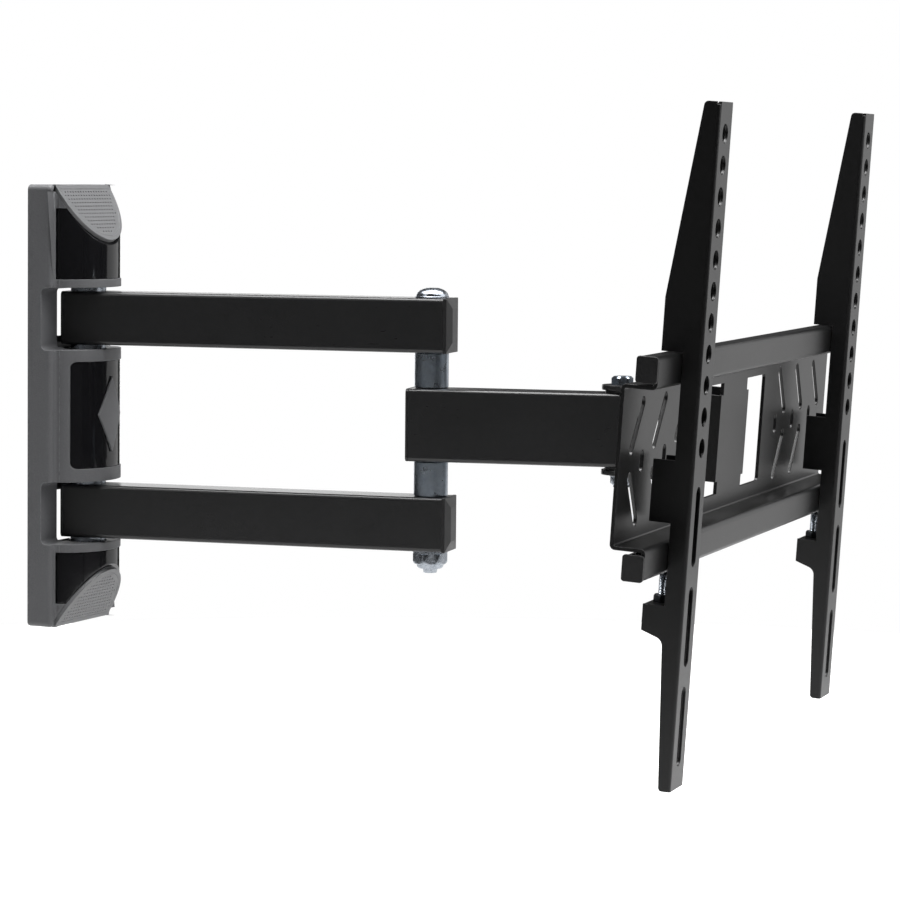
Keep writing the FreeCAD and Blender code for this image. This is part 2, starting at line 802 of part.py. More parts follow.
# ---- screen plate, about the tilt axis ------------------------------------
web_front = -tilt_behind_plate
web_back = web_front + sheet
rail_face = web_front - rail_forward
rail_back = rail_face + rail_depth
web_half = web_height / 2.0
rail_inner = web_half + sheet
rail_outer = rail_inner + rail_height


def fold_half():
    # Half of the folded section as (y, z) points, from the web's middle up round the rail.
    return [(web_back, rail_inner), (rail_face + sheet, rail_inner),
            (rail_face + sheet, rail_outer - sheet), (rail_back - sheet, rail_outer - sheet),
            (rail_back - sheet, rail_inner + rail_lip_gap), (rail_back, rail_inner + rail_lip_gap),
            (rail_back, rail_outer), (rail_face, rail_outer), (rail_face, web_half), (web_front, web_half)]


def make_screen_plate():
    upper = fold_half()
    lower = [(y, -z) for y, z in reversed(upper)]
    half = plate_length / 2.0
    points = [Vector(-half, y, z) for y, z in upper + lower]
    blank = prism(points, Vector(plate_length, 0, 0))
    blank = round_along(blank, outer_bend, AXIS_X, is_outer_bend)
    blank = round_along(blank, inner_bend, AXIS_X, is_inner_bend)
    return cut_all(blank, web_openings()).fuse(make_ears()).removeSplitter()


def on_corner(point, corners):
    return any(abs(point.y - y) < 0.02 and abs(abs(point.z) - z) < 0.02 for y, z in corners)


def is_outer_bend(point):
    return on_corner(point, [(web_back, rail_inner), (rail_back, rail_outer), (rail_face, rail_outer),
                             (rail_face, web_half)])


def is_inner_bend(point):
    return on_corner(point, [(web_front, web_half), (rail_face + sheet, rail_inner),
                             (rail_face + sheet, rail_outer - sheet), (rail_back - sheet,
                                                                       rail_outer - sheet)])


def web_openings():
    tools = []
    y0 = web_front - 1
    y1 = web_back + 1
    tall = window_height / 2.0
    inner = ear_spacing / 2.0
    relief = tall - ear_height / 2.0
    for side in (1, -1):
        xs = sorted((side * inner, side * (inner + window_width)))
        window = box(xs[0], xs[1], y0, y1, -tall, tall)
        tools.append(round_along(window, window_corner, AXIS_Y, lambda p: abs(p.x) > inner + 1))
        for end in (1, -1):
            xs = sorted((side * (inner - relief_width), side * (inner + 1)))
            zs = sorted((end * tall, end * (tall - relief)))
            tools.append(box(xs[0], xs[1], y0, y1, zs[0], zs[1]))
        for across in slot_rows:
            for end in (1, -1):
                centre = Vector(side * across, web_front, end * slot_height)
                angle = -side * end * slot_slant
                tools.append(slot_tool(slot_width, slot_length, angle, centre, sheet * 2))
            centre = Vector(side * (across - oval_step_in), web_front, 0)
            tools.append(slot_tool(slot_width, oval_length, 0, centre, sheet * 2))
    return tools


def make_ears():
    ears = []
    inner = ear_spacing / 2.0
    back = web_front + ear_depth
    for side in (1, -1):
        xs = sorted((side * inner, side * (inner - sheet)))
        ear = box(xs[0], xs[1], web_front, back, -ear_height / 2.0, ear_height / 2.0)
        ear = round_along(ear, ear_corner, AXIS_X, lambda p: p.y > back - 1)
        hole = rod(tilt_bolt / 2.0, Vector(xs[0] - 1, 0, 0), Vector(xs[1] + 1, 0, 0))
        ears.append(ear.cut(hole))
    return Part.makeCompound(ears)


def make_rail_caps():
    caps = []
    half = plate_length / 2.0
    for side in (1, -1):
        for end in (1, -1):
            xs = sorted((side * half, side * (half + rail_cap_lip)))
            zs = sorted((end * (rail_inner + rail_cap_gap), end * rail_outer))
            lip = box(xs[0], xs[1], rail_face, rail_back, zs[0], zs[1])
            lip = round_along(lip, rail_cap_corner, AXIS_X)
            xs = sorted((side * half, side * (half - rail_cap_plug)))
            zs = sorted((end * (rail_inner + rail_lip_gap), end * (rail_outer - sheet - play)))
            plug = box(xs[0], xs[1], rail_face + sheet + play, rail_back - sheet - play, zs[0], zs[1])
            plug = round_along(plug, inner_bend + 0.2, AXIS_X)
            caps.append(join([lip, plug]))
    return Part.makeCompound(caps)


def make_tilt_bolts():
    bolts = []
    nuts = []
    outer = ear_spacing / 2.0
    inside = cheek_outer - head_plate - play
    for side in (1, -1):
        start = Vector(side * outer, 0, 0)
        end = Vector(side * (inside - tilt_bolt_end), 0, 0)
        head = hex_prism(tilt_flats, start, Vector(side * tilt_head, 0, 0))
        bolt = rod(tilt_bolt / 2.0, start, end).fuse(head)
        bolts.append(bolt.removeSplitter())
        blank = hex_prism(tilt_flats, Vector(side * inside, 0, 0), Vector(-side * tilt_nut, 0, 0))
        nuts.append(blank.cut(rod(tilt_bolt / 2.0, start, end)))
    return Part.makeCompound(bolts), Part.makeCompound(nuts)


# ---- screen brackets, about the tilt axis, on the middle of the plate ------
bracket_y = rail_face - bracket_front
bracket_top = bracket_raise + bracket_height / 2.0
bracket_low = bracket_top - bracket_height
foot_tab_bottom = foot_tab_top - foot_tab_height
tab_plate = 2.5


def flange_outline():
    # The flange as (depth behind the front, height) points, cut away round the two rails.
    top_rail = rail_outer + hook_lift
    low_rail = -rail_outer - hook_lift
    return [(0, bracket_top), (flange_top, bracket_top), (flange_deep, bracket_top - taper_length),
            (flange_deep, top_rail), (flange_neck, top_rail), (flange_neck, tab_top),
            (flange_deep, tab_top), (flange_deep, tab_bottom), (flange_neck, tab_bottom),
            (flange_neck, foot_tab_top), (flange_deep, foot_tab_top), (flange_deep, foot_tab_bottom),
            (flange_neck, foot_tab_bottom - 5), (flange_foot, bracket_low), (0, bracket_low)]


def make_flange(x_inner):
    points = [Vector(x_inner, bracket_y + depth, z) for depth, z in flange_outline()]
    flange = prism(points, Vector(bracket_sheet, 0, 0))

    def behind(point):
        return point.y > bracket_y + 1

    flange = round_along(flange, flange_top_corner, AXIS_X, lambda p: behind(p) and p.z > bracket_top - 0.1)
    flange = round_along(flange, flange_low_corner, AXIS_X, lambda p: behind(p) and p.z < bracket_low + 0.1)
    return round_along(flange, flange_neck_bend, AXIS_X,
                       lambda p: abs(p.y - bracket_y - flange_neck) < 0.1 and p.z < foot_tab_bottom)


def make_bracket():
    half = bracket_width / 2.0
    web = box(-half, half, bracket_y, bracket_y + bracket_sheet, bracket_low, bracket_top)
    pieces = [web, make_flange(-half), make_flange(half - bracket_sheet)]
    tab_y0 = bracket_y + flange_neck
    tab_y1 = bracket_y + flange_deep - 0.5
    tab = box(-half + 1, half - 1, tab_y0, tab_y1, foot_tab_top - tab_plate, foot_tab_top)
    pieces.append(tab)
    bracket = join(pieces)
    bracket = round_along(bracket, bracket_bend, AXIS_Z,
                          lambda p: abs(p.y - bracket_y) < 0.1 and abs(abs(p.x) - half) < 0.1)
    return cut_all(bracket, bracket_openings())


def lock_y():
    return bracket_y + (flange_neck + flange_deep) / 2.0 - 1.0


def bracket_openings():
    tools = []
    for k in range(hole_count):
        z = bracket_top - hole_inset - k * hole_step
        tools.append(rod(hole_width / 2.0, Vector(0, bracket_y - 1, z), Vector(0, bracket_y + 4, z)))
    last = bracket_top - hole_inset - (hole_count - 1) * hole_step
    for k in range(long_slot_count):
        z = last - long_slot_first - k * long_slot_step
        tools.append(slot_tool(long_slot_width, long_slot_length, 0, Vector(0, bracket_y, z), 4))
    for side in (1, -1):
        # A bend relief at the top of each fold.
        x0 = side * (bracket_width / 2.0 - bracket_sheet / 2.0)
        half = relief_notch / 2.0
        tools.append(box(x0 - half, x0 + half, bracket_y - 1, bracket_y + relief_notch,
                         bracket_top - relief_drop, bracket_top + 1))
    tools.append(upright(lock_screw / 2.0, 0, lock_y(), foot_tab_top - 5, foot_tab_top + 5))
    return tools


def make_lock_screw():
    tip = -rail_outer - play
    low = foot_tab_top - tab_plate - lock_reach
    shank = upright(lock_screw / 2.0, 0, lock_y(), low, tip)
    shank = shank.makeChamfer(0.8, [e for e in shank.Edges if e.CenterOfMass.z > tip - 0.1])
    return join([shank, hex_prism(lock_flats, Vector(0, lock_y(), low), Vector(0, 0, -lock_head))])


def make_lock_nut():
    nut = hex_prism(lock_flats, Vector(0, lock_y(), foot_tab_top), Vector(0, 0, lock_nut_height))
    return nut.cut(upright(lock_screw / 2.0, 0, lock_y(), foot_tab_top - 1,
                   foot_tab_top + lock_nut_height + 1))


# ---- set the groups on one another -----------------------------------------
wall_set = Placement(Vector(0, -pivot_from_wall, -arm_drop), Rotation(AXIS_Z, first_arm_turn))
elbow_set = wall_set.multiply(Placement(Vector(0, -first_arm_reach, 0), Rotation(AXIS_Z, second_arm_turn)))
head_set = elbow_set.multiply(Placement(Vector(0, -second_arm_reach, 0), Rotation(AXIS_Z, head_turn)))
tilt_set = head_set.multiply(Placement(Vector(0, tilt_y, 0), Rotation(AXIS_X, plate_lean)))


def bracket_set(side):
    return tilt_set.multiply(Placement(Vector(side * bracket_spacing / 2.0, 0, 0), Rotation()))


def save(name, shape, where=Placement()):
    placed = shape.copy()
    placed.Placement = where.multiply(shape.Placement)
    assert placed.isValid(), name
    placed.exportStep("parts/" + name + ".step")
    print(name, len(placed.Solids), round(placed.Volume))


def save_wall_side():
    save("wall_plate", make_wall_plate())
    save("wall_cover", make_cover())
    for name, panel in zip(("top_panel", "middle_panel", "bottom_panel"), make_panels()):
        save(name, panel)
    hood = make_hood()
    grille = make_grille()
    save("top_hood", hood)
    save("bottom_hood", flipped(hood))
    save("top_grille", grille)
    save("bottom_grille", flipped(grille))
    save("diamond_pad", make_pad())
    bolts, nuts, washers = make_wall_pivots()
    save("wall_pivot_bolts", bolts)
    save("wall_pivot_nuts", nuts)
    save("wall_pivot_washers", washers)


def save_first_arm():
    upper, lower = make_first_tubes()
    save("upper_arm_tube", upper, wall_set)
    save("lower_arm_tube", lower, wall_set)
    save("wall_bushes", make_wall_bushes(), wall_set)
    save("wall_end_caps", make_first_tail_caps(), wall_set)
    save("elbow_end_caps", make_first_nose_caps(), wall_set)
    save("elbow_bolt", make_elbow_bolt(), wall_set)
    nut, washer = make_elbow_nut()
    save("elbow_nut", nut, wall_set)
    save("elbow_washer", washer, wall_set)
    for name, spacer in zip(("upper_elbow_spacer", "lower_elbow_spacer"), make_elbow_spacers()):
        save(name, spacer, wall_set)


def save_second_arm():
    save("second_arm_tube", make_second_tube(), elbow_set)
    elbow, swivel = make_second_sleeves()
    save("elbow_sleeve", elbow, elbow_set)
    save("swivel_sleeve", swivel, elbow_set)
    save("second_arm_caps", make_second_caps(), elbow_set)
    save("swivel_washers", make_swivel_washers(), elbow_set)


def save_head():
    save("head_bracket", make_head_bracket(), head_set)
    save("swivel_bolt", make_swivel_bolt(), head_set)
    save("swivel_nut", make_swivel_nut(), head_set)
    save("tilt_washers", make_tilt_washers(), head_set)


def save_screen_side():
    save("screen_plate", make_screen_plate(), tilt_set)
    save("rail_end_caps", make_rail_caps(), tilt_set)
    bolts, nuts = make_tilt_bolts()
    save("tilt_bolts", bolts, tilt_set)
    save("tilt_nuts", nuts, tilt_set)
    for name, side in (("near", -1), ("far", 1)):
        save(name + "_bracket", make_bracket(), bracket_set(side))
        save(name + "_lock_nut", make_lock_nut(), bracket_set(side))
        save(name + "_lock_screw", make_lock_screw(), bracket_set(side))


def main():
    os.makedirs("parts", exist_ok=True)
    save_wall_side()
    save_first_arm()
    save_second_arm()
    save_head()
    save_screen_side()


main()
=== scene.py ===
import json
import math

import bmesh
import bpy
from mathutils import Matrix, Vector


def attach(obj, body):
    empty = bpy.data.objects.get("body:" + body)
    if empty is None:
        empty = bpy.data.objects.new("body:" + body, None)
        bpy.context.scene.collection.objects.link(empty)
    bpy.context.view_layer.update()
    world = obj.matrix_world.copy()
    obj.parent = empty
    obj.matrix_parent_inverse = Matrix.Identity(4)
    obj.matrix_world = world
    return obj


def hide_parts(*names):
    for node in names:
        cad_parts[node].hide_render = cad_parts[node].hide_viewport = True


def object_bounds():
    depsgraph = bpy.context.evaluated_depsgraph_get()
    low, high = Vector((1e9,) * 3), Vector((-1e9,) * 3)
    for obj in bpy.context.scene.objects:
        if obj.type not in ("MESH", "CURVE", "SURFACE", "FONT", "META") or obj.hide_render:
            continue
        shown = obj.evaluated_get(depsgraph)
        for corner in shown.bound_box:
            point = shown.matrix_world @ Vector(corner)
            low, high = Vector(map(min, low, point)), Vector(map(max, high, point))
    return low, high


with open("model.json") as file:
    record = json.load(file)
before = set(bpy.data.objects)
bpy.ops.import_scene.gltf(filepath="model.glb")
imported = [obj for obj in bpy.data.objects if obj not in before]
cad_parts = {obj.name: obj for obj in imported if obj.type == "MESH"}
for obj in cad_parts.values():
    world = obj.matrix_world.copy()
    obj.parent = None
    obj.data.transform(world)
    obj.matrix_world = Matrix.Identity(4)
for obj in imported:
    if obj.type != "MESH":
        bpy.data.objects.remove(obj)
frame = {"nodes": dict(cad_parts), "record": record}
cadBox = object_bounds()
mm = 0.001


# the camera and the studio
def makeCamera():
    # a long lens, a little above the arms, with the frame slid down so that upright edges stay upright
    setting = dict(place=(-2.0609, -1.2802, 0.1758), aim=(0.90481, 0.42175, -0.0587), roll=0.5,
                   lens=130.35, sensor=36, slide=-0.1, nearest=0.05, furthest=50)
    data = bpy.data.cameras.new("mountCamera")
    camera = bpy.data.objects.new("mountCamera", data)
    bpy.context.scene.collection.objects.link(camera)
    data.lens = setting["lens"]
    data.sensor_width = setting["sensor"]
    data.shift_y = setting["slide"]
    data.clip_start = setting["nearest"]
    data.clip_end = setting["furthest"]
    look = Vector(setting["aim"]).to_track_quat("-Z", "Y").to_matrix().to_4x4()
    turn = Matrix.Rotation(math.radians(setting["roll"]), 4, "Z")
    camera.matrix_world = Matrix.Translation(setting["place"]) @ look @ turn
    bpy.context.scene.camera = camera


def softLight(name, place, aim, wide, tall, watts):
    data = bpy.data.lights.new(name, "AREA")
    data.shape = "RECTANGLE"
    data.size = wide
    data.size_y = tall
    data.energy = watts
    light = bpy.data.objects.new(name, data)
    light.location = place
    light.rotation_euler = (Vector(aim) - Vector(place)).to_track_quat("-Z", "Y").to_euler()
    light.visible_camera = False
    bpy.context.scene.collection.objects.link(light)


def makeRoom(dim):
    # the room looks white to the camera but lights the mount only faintly, so that its sides stay black
    world = bpy.data.worlds.new("paleRoom")
    world.use_nodes = True
    tree = world.node_tree
    back = tree.nodes["Background"]
    back.inputs["Color"].default_value = (1, 1, 1, 1)
    seen = tree.nodes.new("ShaderNodeLightPath")
    level = tree.nodes.new("ShaderNodeMapRange")
    level.inputs["To Min"].default_value = dim
    tree.links.new(seen.outputs["Is Camera Ray"], level.inputs["Value"])
    tree.links.new(level.outputs["Result"], back.inputs["Strength"])
    bpy.context.scene.world = world


def makeStudio():
    # each light faces the middle of the mount from its own offset
    lights = dict(
        overhead=dict(offset=(0.1, -0.4, 1.6), wide=1.6, tall=1.6, watts=56),
        edgeLine=dict(offset=(-0.2, 0.6, 1.6), wide=1.0, tall=1.0, watts=30),
        frontKey=dict(offset=(0.7, -1.9, 0.9), wide=1.6, tall=1.6, watts=17),
        grazing=dict(offset=(2.3, -0.75, -0.1), wide=2.0, tall=2.8, watts=12),
        backGlow=dict(offset=(2.0, 1.6, 0.0), wide=1.2, tall=1.6, watts=11),
        cameraLeft=dict(offset=(-1.6, 0.9, 1.0), wide=0.7, tall=1.0, watts=3.4),
    )
    low, high = cadBox
    centre = (low + high) / 2
    bpy.context.scene.view_settings.view_transform = "Standard"
    makeRoom(dim=0.05)
    for name, light in lights.items():
        place = centre + Vector(light["offset"])
        softLight(name, place, centre, light["wide"], light["tall"], light["watts"])


def makeFloor():
    # a round pale sheet under the mount
    setting = dict(drop=0.14, radius=1.5, sides=96)
    low, high = cadBox
    middle = (low + high) / 2
    bm = bmesh.new()
    place = Matrix.Translation((middle.x, middle.y, low.z - setting["drop"]))
    bmesh.ops.create_circle(bm, cap_ends=True, radius=setting["radius"], segments=setting["sides"],
                            matrix=place)
    sheet = meshPiece("paleFloor", bm)
    sheet.data.materials.append(paintFloor())


def meshPiece(name, bm):
    mesh = bpy.data.meshes.new(name)
    bm.to_mesh(mesh)
    bm.free()
    piece = bpy.data.objects.new(name, mesh)
    bpy.context.scene.collection.objects.link(piece)
    return piece


# shader groups that several finishes share
def openGroup(name, inputs, outputs):
    group = bpy.data.node_groups.new(name, "ShaderNodeTree")
    for label, value in inputs.items():
        socket = group.interface.new_socket(label, in_out="INPUT", socket_type="NodeSocketFloat")
        socket.default_value = value
    for label in outputs:
        group.interface.new_socket(label, in_out="OUTPUT", socket_type="NodeSocketFloat")
    return group, group.nodes.new("NodeGroupInput"), group.nodes.new("NodeGroupOutput")


def mathNode(tree, kind, first, second):
    node = tree.nodes.new("ShaderNodeMath")
    node.operation = kind
    for slot, value in zip(node.inputs, (first, second)):
        if isinstance(value, (int, float)):
            slot.default_value = value
        else:
            tree.links.new(value, slot)
    return node.outputs[0]


def rangeNode(tree, value, fromLow, fromHigh, toLow, toHigh):
    node = tree.nodes.new("ShaderNodeMapRange")
    node.inputs["From Min"].default_value = fromLow
    node.inputs["From Max"].default_value = fromHigh
    node.inputs["To Min"].default_value = toLow
    node.inputs["To Max"].default_value = toHigh
    tree.links.new(value, node.inputs["Value"])
    return node.outputs["Result"]


def noiseNode(tree, scale, detail, roughness=0.5):
    node = tree.nodes.new("ShaderNodeTexNoise")
    node.inputs["Detail"].default_value = detail
    node.inputs["Roughness"].default_value = roughness
    if isinstance(scale, (int, float)):
        node.inputs["Scale"].default_value = scale
    else:
        tree.links.new(scale, node.inputs["Scale"])
    place = tree.nodes.new("ShaderNodeTexCoord")
    tree.links.new(place.outputs["Object"], node.inputs["Vector"])
    return node.outputs["Fac"]


def makeGrainGroup():
    # fine relief, broad cloudy patches and a scatter of small specks
    group, entry, leave = openGroup("surfaceGrain", {"Fine": 900.0, "Broad": 18.0},
                                    ("Relief", "Patches", "Specks"))
    fine = noiseNode(group, entry.outputs["Fine"], 3)
    broad = noiseNode(group, entry.outputs["Broad"], 4, 0.6)
    speckle = noiseNode(group, 2600.0, 1)
    group.links.new(fine, leave.inputs["Relief"])
    group.links.new(rangeNode(group, broad, 0.2, 0.8, 0, 1), leave.inputs["Patches"])
    group.links.new(rangeNode(group, speckle, 0.68, 0.76, 0, 1), leave.inputs["Specks"])
    return group


def makeEdgeGroup():
    # a mask that is bright where the surface turns sharply, broken up by noise
    group, entry, leave = openGroup("edgeWear", {"Radius": 0.0008, "Break": 160.0}, ("Mask",))
    soft = group.nodes.new("ShaderNodeBevel")
    soft.samples = 4
    group.links.new(entry.outputs["Radius"], soft.inputs["Radius"])
    place = group.nodes.new("ShaderNodeNewGeometry")
    dot = group.nodes.new("ShaderNodeVectorMath")
    dot.operation = "DOT_PRODUCT"
    group.links.new(soft.outputs["Normal"], dot.inputs[0])
    group.links.new(place.outputs["Normal"], dot.inputs[1])
    turned = rangeNode(group, dot.outputs["Value"], 0.995, 0.86, 0, 1)
    patchy = rangeNode(group, noiseNode(group, entry.outputs["Break"], 3), 0.35, 0.62, 0, 1)
    group.links.new(mathNode(group, "MULTIPLY", turned, patchy), leave.inputs["Mask"])
    return group


def makeScuffGroup():
    # long thin rubs, in one direction, that only some places have
    group, entry, leave = openGroup("rubMarks", {"Length": 26.0, "Fineness": 900.0}, ("Mask",))
    place = group.nodes.new("ShaderNodeTexCoord")
    stretch = group.nodes.new("ShaderNodeVectorMath")
    stretch.operation = "MULTIPLY"
    scale = group.nodes.new("ShaderNodeCombineXYZ")
    for axis, label in (("X", "Fineness"), ("Y", "Length"), ("Z", "Fineness")):
        group.links.new(entry.outputs[label], scale.inputs[axis])
    group.links.new(place.outputs["Object"], stretch.inputs[0])
    group.links.new(scale.outputs["Vector"], stretch.inputs[1])
    lines = group.nodes.new("ShaderNodeTexNoise")
    lines.inputs["Scale"].default_value = 1.0
    lines.inputs["Detail"].default_value = 2
    group.links.new(stretch.outputs["Vector"], lines.inputs["Vector"])
    thin = rangeNode(group, lines.outputs["Fac"], 0.66, 0.74, 0, 1)
    where = rangeNode(group, noiseNode(group, 14.0, 2), 0.48, 0.66, 0, 1)
    group.links.new(mathNode(group, "MULTIPLY", thin, where), leave.inputs["Mask"])
    return group


groups = {"grain": makeGrainGroup(), "edges": makeEdgeGroup(), "rubs": makeScuffGroup()}


def useGroup(tree, name, **values):
    node = tree.nodes.new("ShaderNodeGroup")
    node.node_tree = groups[name]
    for label, value in values.items():
        node.inputs[label].default_value = value
    return node


def mixColour(tree, mask, first, second):
    node = tree.nodes.new("ShaderNodeMix")
    node.data_type = "RGBA"
    tree.links.new(mask, node.inputs["Factor"])
    for slot, value in ((node.inputs[6], first), (node.inputs[7], second)):
        if isinstance(value, tuple):
            slot.default_value = (*value, 1)
        else:
            tree.links.new(value, slot)
    return node.outputs[2]


def newFinish(name):
    material = bpy.data.materials.new(name)
    material.use_nodes = True
    tree = material.node_tree
    return material, tree, tree.nodes["Principled BSDF"]


def addBump(tree, shader, height, strength, distance):
    bump = tree.nodes.new("ShaderNodeBump")
    bump.inputs["Strength"].default_value = strength
    bump.inputs["Distance"].default_value = distance
    tree.links.new(height, bump.inputs["Height"])
    tree.links.new(bump.outputs["Normal"], shader.inputs["Normal"])


# finishes
def powderCoat(name, deep, worn, rough, fine=700.0, relief=0.22):
    # satin black powder coat: soft orange peel, cloudy sheen, edges rubbed a little brighter
    coat = dict(cloud=1.12, speck=2.2, smoothest=-0.012, roughest=0.018, rubbed=-0.03, depth=0.00025)
    material, tree, shader = newFinish(name)
    grain = useGroup(tree, "grain", Fine=fine, Broad=16.0)
    edges = useGroup(tree, "edges", Radius=0.0009, Break=140.0)
    rubs = useGroup(tree, "rubs", Length=22.0, Fineness=700.0)
    tone = mixColour(tree, grain.outputs["Patches"], deep, tuple(c * coat["cloud"] for c in deep))
    tone = mixColour(tree, grain.outputs["Specks"], tone, tuple(c * coat["speck"] for c in deep))
    tone = mixColour(tree, edges.outputs["Mask"], tone, worn)
    tree.links.new(tone, shader.inputs["Base Color"])
    sheen = rangeNode(tree, grain.outputs["Patches"], 0, 1,
                      rough + coat["smoothest"], rough + coat["roughest"])
    rubbed = mathNode(tree, "MULTIPLY", rubs.outputs["Mask"], coat["rubbed"])
    sheen = mathNode(tree, "ADD", sheen, rubbed)
    tree.links.new(sheen, shader.inputs["Roughness"])
    addBump(tree, shader, grain.outputs["Relief"], relief, coat["depth"])
    return material


def mouldedPlastic(name, deep, pale, rough, fine, relief):
    # spark-textured plastic: fine even pits, a slightly mottled tone and softer, paler edges
    mould = dict(edge=1.5, smoothest=-0.05, roughest=0.06, depth=0.0003)
    material, tree, shader = newFinish(name)
    grain = useGroup(tree, "grain", Fine=fine, Broad=55.0)
    edges = useGroup(tree, "edges", Radius=0.0007, Break=220.0)
    tone = mixColour(tree, grain.outputs["Relief"], deep, pale)
    between = tuple((a + b) / 2 for a, b in zip(deep, pale))
    tone = mixColour(tree, grain.outputs["Patches"], tone, between)
    tone = mixColour(tree, edges.outputs["Mask"], tone, tuple(c * mould["edge"] for c in pale))
    tree.links.new(tone, shader.inputs["Base Color"])
    sheen = rangeNode(tree, grain.outputs["Patches"], 0, 1,
                      rough + mould["smoothest"], rough + mould["roughest"])
    tree.links.new(sheen, shader.inputs["Roughness"])
    addBump(tree, shader, grain.outputs["Relief"], relief, mould["depth"])
    return material


def pianoBlack(name):
    # high-gloss black with faint clouding and a few hairline rubs
    gloss = dict(deep=(0.004, 0.004, 0.005), pale=(0.008, 0.008, 0.009), smoothest=0.07, roughest=0.11,
                 rubbed=0.12, relief=0.04, depth=0.0006)
    material, tree, shader = newFinish(name)
    grain = useGroup(tree, "grain", Fine=40.0, Broad=12.0)
    rubs = useGroup(tree, "rubs", Length=60.0, Fineness=1500.0)
    tone = mixColour(tree, grain.outputs["Patches"], gloss["deep"], gloss["pale"])
    tree.links.new(tone, shader.inputs["Base Color"])
    sheen = rangeNode(tree, grain.outputs["Patches"], 0, 1, gloss["smoothest"], gloss["roughest"])
    rubbed = mathNode(tree, "MULTIPLY", rubs.outputs["Mask"], gloss["rubbed"])
    sheen = mathNode(tree, "ADD", sheen, rubbed)
    tree.links.new(sheen, shader.inputs["Roughness"])
    addBump(tree, shader, grain.outputs["Relief"], gloss["relief"], gloss["depth"])
    return material


def zincPlate(name, bright, dull, rough):
    # plated metal: bright, with a cloudy darker bloom, dark specks and brighter edges
    plating = dict(speck=0.55, edge=1.2, smoothest=-0.06, roughest=0.14, relief=0.3, depth=0.0002)
    material, tree, shader = newFinish(name)
    grain = useGroup(tree, "grain", Fine=420.0, Broad=130.0)
    edges = useGroup(tree, "edges", Radius=0.0005, Break=300.0)
    tone = mixColour(tree, grain.outputs["Patches"], bright, dull)
    tone = mixColour(tree, grain.outputs["Specks"], tone, tuple(c * plating["speck"] for c in dull))
    tone = mixColour(tree, edges.outputs["Mask"], tone, tuple(c * plating["edge"] for c in bright))
    tree.links.new(tone, shader.inputs["Base Color"])
    shader.inputs["Metallic"].default_value = 1.0
    sheen = rangeNode(tree, grain.outputs["Patches"], 0, 1,
                      rough + plating["smoothest"], rough + plating["roughest"])
    tree.links.new(sheen, shader.inputs["Roughness"])
    addBump(tree, shader, grain.outputs["Relief"], plating["relief"], plating["depth"])
    return material


def paintFloor():
    # the sheet looks nearly white to the camera but throws little light up under the mount
    sheet = dict(tone=(0.7, 0.7, 0.7, 1), thrown=0.03, seen=0.75)
    material, tree, shader = newFinish("paleFloor")
    patches = rangeNode(tree, noiseNode(tree, 3.0, 3), 0.3, 0.7, 0.5, 0.62)
    shader.inputs["Base Color"].default_value = sheet["tone"]
    shader.inputs["Emission Color"].default_value = (1, 1, 1, 1)
    seen = tree.nodes.new("ShaderNodeLightPath")
    glow = rangeNode(tree, seen.outputs["Is Camera Ray"], 0, 1, sheet["thrown"], sheet["seen"])
    tree.links.new(glow, shader.inputs["Emission Strength"])
    tree.links.new(patches, shader.inputs["Roughness"])
    return material


finishes = {
    "blackCoat": powderCoat(
        "blackCoat", deep=(0.013, 0.013, 0.0135), worn=(0.05, 0.05, 0.052), rough=0.29),
    "bracketCoat": powderCoat(
        "bracketCoat", deep=(0.004, 0.004, 0.0042), worn=(0.03, 0.03, 0.031), rough=0.32, fine=900.0,
        relief=0.18),
    "coverPlastic": mouldedPlastic(
        "coverPlastic", deep=(0.06, 0.061, 0.065), pale=(0.15, 0.152, 0.158), rough=0.5, fine=1100.0,
        relief=0.6),
    # painted light: the hood and grille plastic is the cover's plastic with a paler colour, so the sloped
    # hoods look lit from above
    "grillePlasticPaintedLight": mouldedPlastic(
        "grillePlasticPaintedLight", deep=(0.095, 0.096, 0.099), pale=(0.155, 0.157, 0.162), rough=0.44, fine=1800.0,
        relief=0.35),
    "capPlastic": mouldedPlastic(
        "capPlastic", deep=(0.006, 0.006, 0.0065), pale=(0.014, 0.014, 0.0145), rough=0.38, fine=1300.0,
        relief=0.3),
    "glossPanel": pianoBlack("glossPanel"),
    "zinc": zincPlate("zinc", bright=(0.5, 0.53, 0.57), dull=(0.25, 0.28, 0.32), rough=0.22),
    "darkZinc": zincPlate("darkZinc", bright=(0.5, 0.55, 0.61), dull=(0.19, 0.23, 0.28), rough=0.27),
    "blackOxide": zincPlate(
        "blackOxide", bright=(0.06, 0.063, 0.068), dull=(0.025, 0.027, 0.03), rough=0.38),
    "nylon": mouldedPlastic(
        "nylon", deep=(0.02, 0.02, 0.021), pale=(0.035, 0.035, 0.036), rough=0.4, fine=900.0, relief=0.15),
}
print("finishes made:", len(finishes))


# CAD nodes with their cut edges eased
def easedCopy(node, piece, width, finish):
    # weld the node's loose triangles, join the flat ones and round every edge sharper than the angle
    ease = dict(weld=3e-6, flat=0.4, sharp=30, segments=2, shade=38, weight=50)
    bm = bmesh.new()
    bm.from_mesh(frame["nodes"][node].data)
    bmesh.ops.remove_doubles(bm, verts=bm.verts, dist=ease["weld"])
    bmesh.ops.dissolve_limit(bm, angle_limit=math.radians(ease["flat"]), verts=bm.verts, edges=bm.edges)
    limit = math.radians(ease["sharp"])
    sharp = [edge for edge in bm.edges if edge.is_manifold and edge.calc_face_angle(0) > limit]
    bmesh.ops.bevel(bm, geom=sharp, offset=width, offset_type="OFFSET", affect="EDGES",
                    segments=ease["segments"], profile=0.5, material=-1, clamp_overlap=False)
    for face in bm.faces:
        face.smooth = True
    made = meshPiece(piece, bm)
    made.data.set_sharp_from_angle(angle=math.radians(ease["shade"]))
    made.data.materials.append(finishes[finish])
    even = made.modifiers.new("evenShade", "WEIGHTED_NORMAL")
    even.weight = ease["weight"]
    even.keep_sharp = True
    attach(made, bodyOf(node))
    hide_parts(node)


